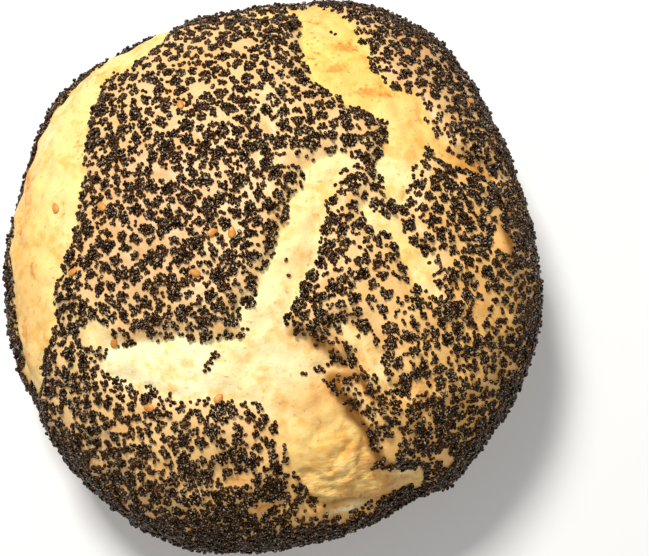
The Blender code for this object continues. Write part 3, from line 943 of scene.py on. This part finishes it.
# Depth is above 0 where a seed's rank by its lead puts it among the covered share
rank = np.argsort(np.argsort(lead)) / len(lead)
depth = rank - (1.0 - cover(seed_map))
lone = draw.uniform(size=len(seed_map)) < LONE_SHARE
kept = ((depth > 0.0) | lone) & (edge_distance(seed_map) > margin)
kept &= ~in_bare_spot(seed_map) & thins_out
print("of", len(seed_map), "places,", int(kept.sum()), "hold a seed")

# %% [markdown]
# ## Sesame seeds
# A few sesame seeds from the next tray stray over the crust. Each is a flat teardrop
# three millimetres long, so the poppy seed's own function makes it from other sizes.
# There are so few that each has a listed place, and poppy seeds that would lie in one
# are taken away.

# %% Sesame
SESAME = seed_shape(
    length=3.1, width=2.3, thickness=0.95, bend=0.0, taper=0.28, rings=9, spokes=14
)
SESAME_ROOM = 1.3

# Each seed: x, y, direction in degrees
SESAME_PLACES = np.array((
    (-14, 1, 20), (-9, 0, 80), (-43, 14, 130), (-54, -2, 10), (-59, 19, 100), (-20, -9, 150),
    (-45, -23, 60), (-37, -41, 160), (-19, -42, 40), (-18, 39, 95), (66, 36, 30),
), dtype=float)

apart = np.linalg.norm(seed_map[:, None] - SESAME_PLACES[None, :, :2], axis=2).min(axis=1)
kept &= apart > SESAME_ROOM
poppy_map = np.concatenate([seed_map[kept], STRAYS])
poppy_depth = np.concatenate([depth[kept], np.zeros(len(STRAYS))])
print(len(SESAME_PLACES), "sesame seeds among", len(poppy_map), "poppy seeds")

# %% [markdown]
# ## Seeds on the crust
# Seeds lie on the crust at all angles, and where many were pressed together some lie on
# others. Physics could drop them one by one, but that takes long and differs each time.
# Each seed gets a frame of three directions at its place instead, tipped a little at
# random, and a share of the crowded ones gets a second seed on top.

# %% Setting seeds on the crust
SEAT_STEP = 0.5


def set_on_crust(shape, place, height, turn, tilt, scale):
    """All points of all seeds: each seed's frame of three directions carries its shape.

    The frame's third direction is the crust's outward direction, tipped by a random
    amount, and the first is turned round it by the seed's own angle.
    """
    out = outward(crust, place, step=SEAT_STEP)
    up = out + tilt
    up /= np.linalg.norm(up, axis=1, keepdims=True)
    level = np.stack([np.cos(turn), np.sin(turn), np.zeros(len(turn))], axis=1)
    first = level - up * (level * up).sum(axis=1, keepdims=True)
    first /= np.linalg.norm(first, axis=1, keepdims=True)
    second = np.cross(up, first)
    seat = crust(place) + out * height[:, None]
    local = shape[0][None] * scale[:, None, None]
    moved = seat[:, None] + local[..., :1] * first[:, None] + local[..., 1:2] * second[:, None]
    return moved + local[..., 2:] * up[:, None]


def repeat_faces(faces, copies, points_each):
    """The faces of one seed repeated for every copy, with the numbers moved on."""
    moved_on = faces[None] + (np.arange(copies) * points_each)[:, None, None]
    return moved_on.reshape(-1, faces.shape[1])


def seed_piece(name, shape, points):
    """One object that holds all the seeds of one kind."""
    copies, points_each = points.shape[:2]
    walls = repeat_faces(shape[1], copies, points_each)
    ends = repeat_faces(shape[2], copies, points_each)
    piece = piece_from(name, points.reshape(-1, 3) + TO_FRAME, walls, ends)
    return piece


print("the crust at the crown faces", np.round(outward(crust, CROWN, SEAT_STEP)[0], 2))

# %% Two layers of poppy seeds
SEAT = 0.28
SECOND_SEAT = 0.95
SEAT_SPREAD = 0.10
CROWDED_DEPTH = 0.35
CROWDED_SHARE = 0.22
SECOND_JITTER = 0.3
TILT_SPREAD = 0.30
SIZE_SPREAD = 0.07
SIZE_LIMITS = (0.8, 1.2)

crowded = (poppy_depth > CROWDED_DEPTH) & (draw.uniform(size=len(poppy_map)) < CROWDED_SHARE)
second_layer = poppy_map[crowded] + draw.normal(0.0, SECOND_JITTER, (int(crowded.sum()), 2))
all_map = np.concatenate([poppy_map, second_layer])
all_depth = np.concatenate([poppy_depth, poppy_depth[crowded]])
count = len(all_map)
height = np.concatenate([np.full(len(poppy_map), SEAT), np.full(len(second_layer), SECOND_SEAT)])
height += draw.normal(0.0, SEAT_SPREAD, count)
poppy_points = set_on_crust(
    POPPY, all_map, height,
    turn=draw.uniform(0.0, 2.0 * math.pi, count),
    tilt=draw.normal(0.0, TILT_SPREAD, (count, 3)),
    scale=draw.normal(1.0, SIZE_SPREAD, count).clip(*SIZE_LIMITS),
)
print(count, "poppy seeds,", len(second_layer), "of them lying on others")

# %% Poppy seeds by shade
# Seeds deep in an island lie in shade and look darker, so depth chooses the shade: the
# darker colours there are painted shade, over the seeds' own spread of colour
SHADES = ("brown", "umber", "grey", "slate", "black")
SHADE_SPREAD = 0.3

darkness = all_depth + draw.normal(0.0, SHADE_SPREAD, count)
order = np.argsort(np.argsort(darkness))
shade_number = (order * len(SHADES)) // count
poppy_pieces = {}
for number, shade in enumerate(SHADES):
    chosen = shade_number == number
    piece = seed_piece(f"poppy_seeds_{shade}", POPPY, poppy_points[chosen])
    paint(piece, "own", np.repeat(draw.uniform(size=int(chosen.sum())), len(POPPY[0])))
    poppy_pieces[shade] = piece

# %% Sesame seeds on the crust
SESAME_SEAT = 0.45
SESAME_TILT = 0.12
SESAME_SIZES = 0.05

sesame_count = len(SESAME_PLACES)
sesame_points = set_on_crust(
    SESAME, SESAME_PLACES[:, :2],
    height=np.full(sesame_count, SESAME_SEAT),
    turn=np.radians(SESAME_PLACES[:, 2]),
    tilt=draw.normal(0.0, SESAME_TILT, (sesame_count, 3)),
    scale=draw.normal(1.0, SESAME_SIZES, sesame_count),
)
sesame_piece = seed_piece("sesame_seeds", SESAME, sesame_points)

# %% [markdown]
# ## Materials
# A material is a small sum over the surface. Writing it as Python expressions keeps it
# readable: one class wraps a socket, and each operator adds the node that works it out.
# Joining nodes by hand in the shader editor gives the same, but it can't be read here.

# %% Sums on sockets
class Reading:
    """A number that changes over the surface, as a socket that Python can do sums with."""

    def __init__(self, finish, socket):
        self.finish = finish
        self.socket = socket

    def math(self, operation, first, second):
        """A Math node that works on two numbers, each a reading or a plain value."""
        node = self.finish.node("ShaderNodeMath", {"operation": operation}, {0: first, 1: second})
        return Reading(self.finish, node.outputs[0])

    def __add__(self, other):
        return self.math("ADD", self, other)

    def __radd__(self, other):
        return self.math("ADD", other, self)

    def __sub__(self, other):
        return self.math("SUBTRACT", self, other)

    def __rsub__(self, other):
        return self.math("SUBTRACT", other, self)

    def __mul__(self, other):
        return self.math("MULTIPLY", self, other)

    def __rmul__(self, other):
        return self.math("MULTIPLY", other, self)

    def clamped(self):
        """The number held between 0 and 1."""
        return self.math("MINIMUM", self.math("MAXIMUM", self, 0.0), 1.0)

    def above(self, level, gain):
        """0 up to a level, and from there the gain times what is above it, up to 1."""
        return ((self - level) * gain).clamped()


print("readings can be added, taken away and multiplied from here on")

# %% One finish
class Finish:
    """One material: its shader, and a single way to add any other node."""

    def __init__(self, name, roughness, specular=0.5, gleam=(1.0, 1.0, 1.0)):
        self.material = bpy.data.materials.new(name)
        self.material.use_nodes = True
        self.tree = self.material.node_tree
        self.shader = self.tree.nodes["Principled BSDF"]
        self.shader.inputs["Roughness"].default_value = roughness
        self.shader.inputs["Specular IOR Level"].default_value = specular
        self.shader.inputs["Specular Tint"].default_value = (*gleam, 1.0)

    def node(self, kind, settings=None, inputs=None):
        """Adds a node, then its settings, then the values or links of its sockets."""
        made = self.tree.nodes.new(kind)
        for key, value in (settings or {}).items():
            setattr(made, key, value)
        for key, value in (inputs or {}).items():
            self.feed(made.inputs[key], value)
        return made

    def feed(self, socket, value):
        if isinstance(value, Reading):
            self.tree.links.new(value.socket, socket)
        elif isinstance(value, bpy.types.NodeSocket):
            self.tree.links.new(value, socket)
        else:
            socket.default_value = value

    def position(self):
        """Where a point of the surface lies on the loaf, in metres."""
        return self.node("ShaderNodeTexCoord").outputs["Object"]

    def noise(self, per_mm, detail=2.0, stretch=None):
        """Smooth noise from 0 to 1 that has this many features for each millimetre."""
        where = self.position()
        if stretch:
            scaled = {"Vector": where, "Scale": stretch}
            where = self.node("ShaderNodeMapping", None, scaled).outputs[0]
        inputs = {"Vector": where, "Scale": per_mm / MM, "Detail": detail}
        made = self.node("ShaderNodeTexNoise", None, inputs)
        return Reading(self, made.outputs["Fac"])

    def attribute(self, name):
        """Reads what is stored on the mesh's points under a name."""
        return self.node("ShaderNodeAttribute", {"attribute_name": name})

    def number(self, name):
        return Reading(self, self.attribute(name).outputs["Fac"])

    def mix(self, share, first, second, blend="MIX"):
        """A colour between two others, or one laid over the other by the blend's name."""
        made = self.node("ShaderNodeMix", {"data_type": "RGBA", "blend_type": blend})
        self.feed(made.inputs["Factor"], share)
        self.feed(made.inputs[6], first)
        self.feed(made.inputs[7], second)
        return made.outputs[2]

    def rough(self, value):
        self.feed(self.shader.inputs["Roughness"], value)

    def colour(self, value):
        self.feed(self.shader.inputs["Base Color"], value)

    def bump(self, height, depth_mm):
        """Bends the shading as if the surface rose by this depth times the height."""
        made = self.node("ShaderNodeBump", None, {"Strength": 1.0, "Distance": depth_mm * MM})
        self.feed(made.inputs["Height"], height)
        self.tree.links.new(made.outputs[0], self.shader.inputs["Normal"])


def opaque(colour):
    """Four numbers for a socket: a linear colour and full cover."""
    return (float(colour[0]), float(colour[1]), float(colour[2]), 1.0)


print("finishes are written as sums from here on")

# %% [markdown]
# ## Baked crust
# The skin is satin and bare dough is duller. Golden clouds, browned patches (with painted
# shade in a crease and between torn shelves), browning and painted shade on the leaning
# petal's steep side, crumbs of torn dough and scorched flecks are laid over the stored
# colour in that order, each where its own noise stands above a level. A painted image
# could hold them, but noise on Object coordinates needs no file and has no seams.

# %% Crust finish
# Features for each millimetre
CLOUDS = 0.13
FLAKES = 0.4
MOTTLES = 0.45
FLECKS = 0.8
PORES = 1.1
SPECKS = 1.6
FLAKE_STRETCH = (0.55, 1.7, 1.0)

# The level from which each noise shows, and the gain on what is above it
CLOUD_LEVEL = 0.475
CLOUD_GAIN = 5.0
MIDDLE = 0.5
MOTTLE_GAIN = 3.6
TOAST_AND_SHADE_GAIN = 1.8
TOAST_AND_SHADE_START = 0.7
FLAKE_LEVEL = 0.47
FLAKE_GAIN = 8.0
SCORCH_LEVEL = 0.62
SCORCH_GAIN = 12.0

# How much of each colour is laid on: on skin, and more on bare or browned dough
GOLDEN_SHARE = 0.50
GOLDEN_ON_BARE = 0.40
TOAST_AND_SHADE_SHARE = 0.80
LEDGE_SHARE = 0.75
LEDGE_MOTTLING = 0.4
CRUMB_SHARE = 0.7
SCORCH_SHARE = 0.26
SCORCH_ON_BARE = 0.14
SCORCH_ON_BROWNED = 0.4

# Roughness of skin, more of it on bare dough, and its unevenness
SKIN_ROUGHNESS = 0.46
BARE_ROUGHNESS = 0.16
ROUGHNESS_MOTTLING = 0.2

# Depth of the bump in mm, and the part of each noise in it
CRUST_BUMP = 0.22
MOTTLE_BUMP = 0.5
PORE_BUMP = 0.5
SPECK_BUMP = 0.2
FLAKE_BUMP = 5.0

GOLDEN_GLAZE = np.array((0.95, 0.72, 0.42))
# Browned patches, also laid as painted shade in a crease and between torn shelves
BROWNED_AND_SHADE_COLOUR = from_screen(222, 138, 44)
# Browning and painted shade on the leaning petal's steep side
LEDGE_BROWN_AND_SHADE_COLOUR = from_screen(146, 90, 8)
CRUMB_COLOUR = from_screen(196, 142, 80)
SCORCH_COLOUR = from_screen(168, 98, 26)


def finish_crust():
    """Colours in the order of the notes above, then roughness, then bump."""
    finish = Finish("baked_crust", roughness=0.5)
    tone = finish.attribute("tone").outputs["Color"]
    bare = finish.number("bare")
    browning_and_shade = finish.number("browning_and_shade")
    torn = finish.number("torn")
    cloud = finish.noise(CLOUDS, detail=4.0)
    mottle = finish.noise(MOTTLES, detail=3.0)
    fleck = finish.noise(FLECKS, detail=4.0)
    flake = finish.noise(FLAKES, detail=5.0, stretch=FLAKE_STRETCH)
    golden = ((cloud - CLOUD_LEVEL) * CLOUD_GAIN + (mottle - MIDDLE) * MOTTLE_GAIN).clamped()
    golden = golden * (GOLDEN_SHARE + bare * GOLDEN_ON_BARE)
    colour = finish.mix(golden, tone, opaque(GOLDEN_GLAZE), blend="MULTIPLY")
    # Browned patches, some of them painted shade in a crease and between torn shelves
    toast_and_shade = browning_and_shade * TOAST_AND_SHADE_GAIN + (fleck - MIDDLE) * MOTTLE_GAIN - TOAST_AND_SHADE_START
    colour = finish.mix(toast_and_shade.clamped() * TOAST_AND_SHADE_SHARE, colour, opaque(BROWNED_AND_SHADE_COLOUR))
    # Browning and painted shade on the steep side of the leaning petal
    shade = finish.number("ledge_brown_and_shade") * (LEDGE_SHARE + mottle * LEDGE_MOTTLING)
    colour = finish.mix(shade, colour, opaque(LEDGE_BROWN_AND_SHADE_COLOUR))
    crumbs = (torn * (flake - FLAKE_LEVEL) * FLAKE_GAIN).clamped() * CRUMB_SHARE
    colour = finish.mix(crumbs, colour, opaque(CRUMB_COLOUR))
    scorch = SCORCH_SHARE + bare * SCORCH_ON_BARE + browning_and_shade * SCORCH_ON_BROWNED
    scorch = fleck.above(SCORCH_LEVEL, SCORCH_GAIN) * scorch
    finish.colour(finish.mix(scorch, colour, opaque(SCORCH_COLOUR)))
    mottling = (mottle - MIDDLE) * ROUGHNESS_MOTTLING
    finish.rough(SKIN_ROUGHNESS + bare * BARE_ROUGHNESS + mottling)
    pores = finish.noise(PORES, detail=3.0) * PORE_BUMP
    speck = finish.noise(SPECKS, detail=1.0) * SPECK_BUMP
    finish.bump(mottle * MOTTLE_BUMP + pores + speck + torn * flake * FLAKE_BUMP, CRUST_BUMP)
    return finish.material


crust_piece.data.materials.append(finish_crust())
print("the crust's finish has", len(crust_piece.data.materials[0].node_tree.nodes), "nodes")

# %% [markdown]
# ## Seeds
# Poppy seeds are blue-black to brown, netted with fine ridges, and glossy enough to
# catch the light in one point. Sesame is a toasted tan. A finish for each seed would be
# thirty thousand materials. Five shades, a number of each seed's own that makes it
# lighter or darker, and pale spots of bloom and painted highlight are enough for seeds
# of one millimetre. Deeper in an island a seed takes a darker shade, which is partly
# painted shade.

# %% Seed finishes
POPPY_COLOURS = {
    "black": from_screen(16, 6, 0),
    "slate": from_screen(26, 15, 6),
    "grey": from_screen(50, 36, 22),
    "umber": from_screen(40, 20, 4),
    "brown": from_screen(64, 34, 8),
}
# Pale bloom and painted highlights, laid in small spots on the seeds
POPPY_BLOOM_AND_HIGHLIGHT = from_screen(196, 186, 166)
POPPY_GLEAM = (1.0, 0.56, 0.30)
DARKER = 0.55
LIGHTER = 1.35
BLOOM_AND_HIGHLIGHT_SPOTS = 1.7
BLOOM_AND_HIGHLIGHT_LEVEL = 0.59
BLOOM_AND_HIGHLIGHT_GAIN = 12.0
BLOOM_AND_HIGHLIGHT_SHARE = 0.72
RIDGES = 5.0
RIDGE_BUMP = 0.05
SESAME_PALE = from_screen(226, 158, 66)
SESAME_DARK = from_screen(190, 112, 34)
SESAME_CLOUDS = 0.5
SESAME_LUMPS = 2.0
SESAME_BUMP = 0.08


def finish_poppy(shade):
    """A shade of poppy seed: its own number mixes a darker and a lighter colour."""
    finish = Finish(f"poppy_{shade}", roughness=0.26, specular=0.22, gleam=POPPY_GLEAM)
    colour = POPPY_COLOURS[shade]
    own = finish.number("own")
    plain = finish.mix(own, opaque(colour * DARKER), opaque(colour * LIGHTER))
    # Pale bloom and painted highlights in small spots
    bloom_and_highlight = finish.noise(BLOOM_AND_HIGHLIGHT_SPOTS).above(BLOOM_AND_HIGHLIGHT_LEVEL, BLOOM_AND_HIGHLIGHT_GAIN) * BLOOM_AND_HIGHLIGHT_SHARE
    finish.colour(finish.mix(bloom_and_highlight, plain, opaque(POPPY_BLOOM_AND_HIGHLIGHT)))
    finish.bump(finish.noise(RIDGES, detail=1.0), RIDGE_BUMP)
    return finish.material


def finish_sesame():
    """Tan that wanders between two tones, with a soft unevenness."""
    finish = Finish("toasted_sesame", roughness=0.42)
    cloud = finish.noise(SESAME_CLOUDS)
    finish.colour(finish.mix(cloud, opaque(SESAME_PALE), opaque(SESAME_DARK)))
    finish.bump(finish.noise(SESAME_LUMPS), SESAME_BUMP)
    return finish.material


for shade, piece in poppy_pieces.items():
    piece.data.materials.append(finish_poppy(shade))
sesame_piece.data.materials.append(finish_sesame())
print("materials:", sorted(material.name for material in bpy.data.materials))

# %% [markdown]
# ## The studio
# The loaf stands on a plain pale floor, lit by daylight from above. The sky could be a
# single bright dome, but then the splits would hold no shadow. A soft panel above the
# upper left gives the shadows, a weaker one the front, and the room fills them.

# %% Floor
FLOOR_HALF = 2.0
FLOOR_DROP = 0.0003
FLOOR_GREY = 0.86


def make_floor():
    """A square just under the loaf's base, which belongs to the stage."""
    side = FLOOR_HALF
    corners = [(-side, -side), (side, -side), (side, side), (-side, side)]
    mesh = bpy.data.meshes.new("floor")
    mesh.from_pydata([(x, y, -FLOOR_DROP) for x, y in corners], [], [(0, 1, 2, 3)])
    floor = bpy.data.objects.new("floor", mesh)
    bpy.context.scene.collection.objects.link(floor)
    finish = Finish("floor_paint", roughness=0.8, specular=0.2)
    finish.colour(opaque([FLOOR_GREY] * 3))
    mesh.materials.append(finish.material)
    return floor


make_floor()
print("the floor is", 2 * FLOOR_HALF, "m wide")

# %% Lights
# Each panel: place in metres, side in metres, power in watts, colour
PANELS = {
    "key": ((-0.16, 0.44, 0.82), 0.24, 8.6, (1.0, 0.98, 0.94)),
    "front": ((0.0, -0.30, 0.92), 0.16, 2.4, (1.0, 0.98, 0.95)),
}
LIT_POINT = Vector((0, 0, 0.03))
ROOM_LIGHT = 0.22


def make_panel(name, place, size, power, colour):
    """A square soft light that faces the loaf."""
    light = bpy.data.lights.new(name, "AREA")
    light.size = size
    light.energy = power
    light.color = colour
    lamp = bpy.data.objects.new(name, light)
    bpy.context.scene.collection.objects.link(lamp)
    lamp.location = place
    lamp.rotation_euler = (LIT_POINT - lamp.location).to_track_quat("-Z", "Y").to_euler()
    return lamp


def make_room():
    """A white world that is weaker than the panels."""
    room = bpy.data.worlds.new("room")
    room.use_nodes = True
    sky = room.node_tree.nodes["Background"]
    sky.inputs["Color"].default_value = (1.0, 1.0, 1.0, 1.0)
    sky.inputs["Strength"].default_value = ROOM_LIGHT
    bpy.context.scene.world = room


for name, panel in PANELS.items():
    make_panel(name, *panel)
make_room()
bpy.context.scene.view_settings.view_transform = "Standard"
print(len(PANELS), "panels of light and a room of strength", ROOM_LIGHT)

# %% Camera
AIM = np.array((14.5, -6.5, 30.0))
CAMERA_RISE = 75.0
CAMERA_DISTANCE = 391.0
LENS = 75.0
SENSOR = 36.0


def make_camera():
    """Looks down at the loaf from the front at the photograph's angle."""
    rise = math.radians(CAMERA_RISE)
    offset = np.array((0.0, -math.cos(rise), math.sin(rise))) * CAMERA_DISTANCE
    target = (AIM + TO_FRAME) * MM
    place = (np.array((0.0, 0.0, AIM[2])) + offset + TO_FRAME) * MM
    lens = bpy.data.cameras.new("camera")
    lens.lens = LENS
    lens.sensor_width = SENSOR
    camera = bpy.data.objects.new("camera", lens)
    bpy.context.scene.collection.objects.link(camera)
    camera.location = place
    camera.rotation_euler = (Vector(target) - Vector(place)).to_track_quat("-Z", "Y").to_euler()
    bpy.context.scene.camera = camera
    return camera


camera = make_camera()
print("the camera is at", np.round(camera.location, 3).tolist(), "m")
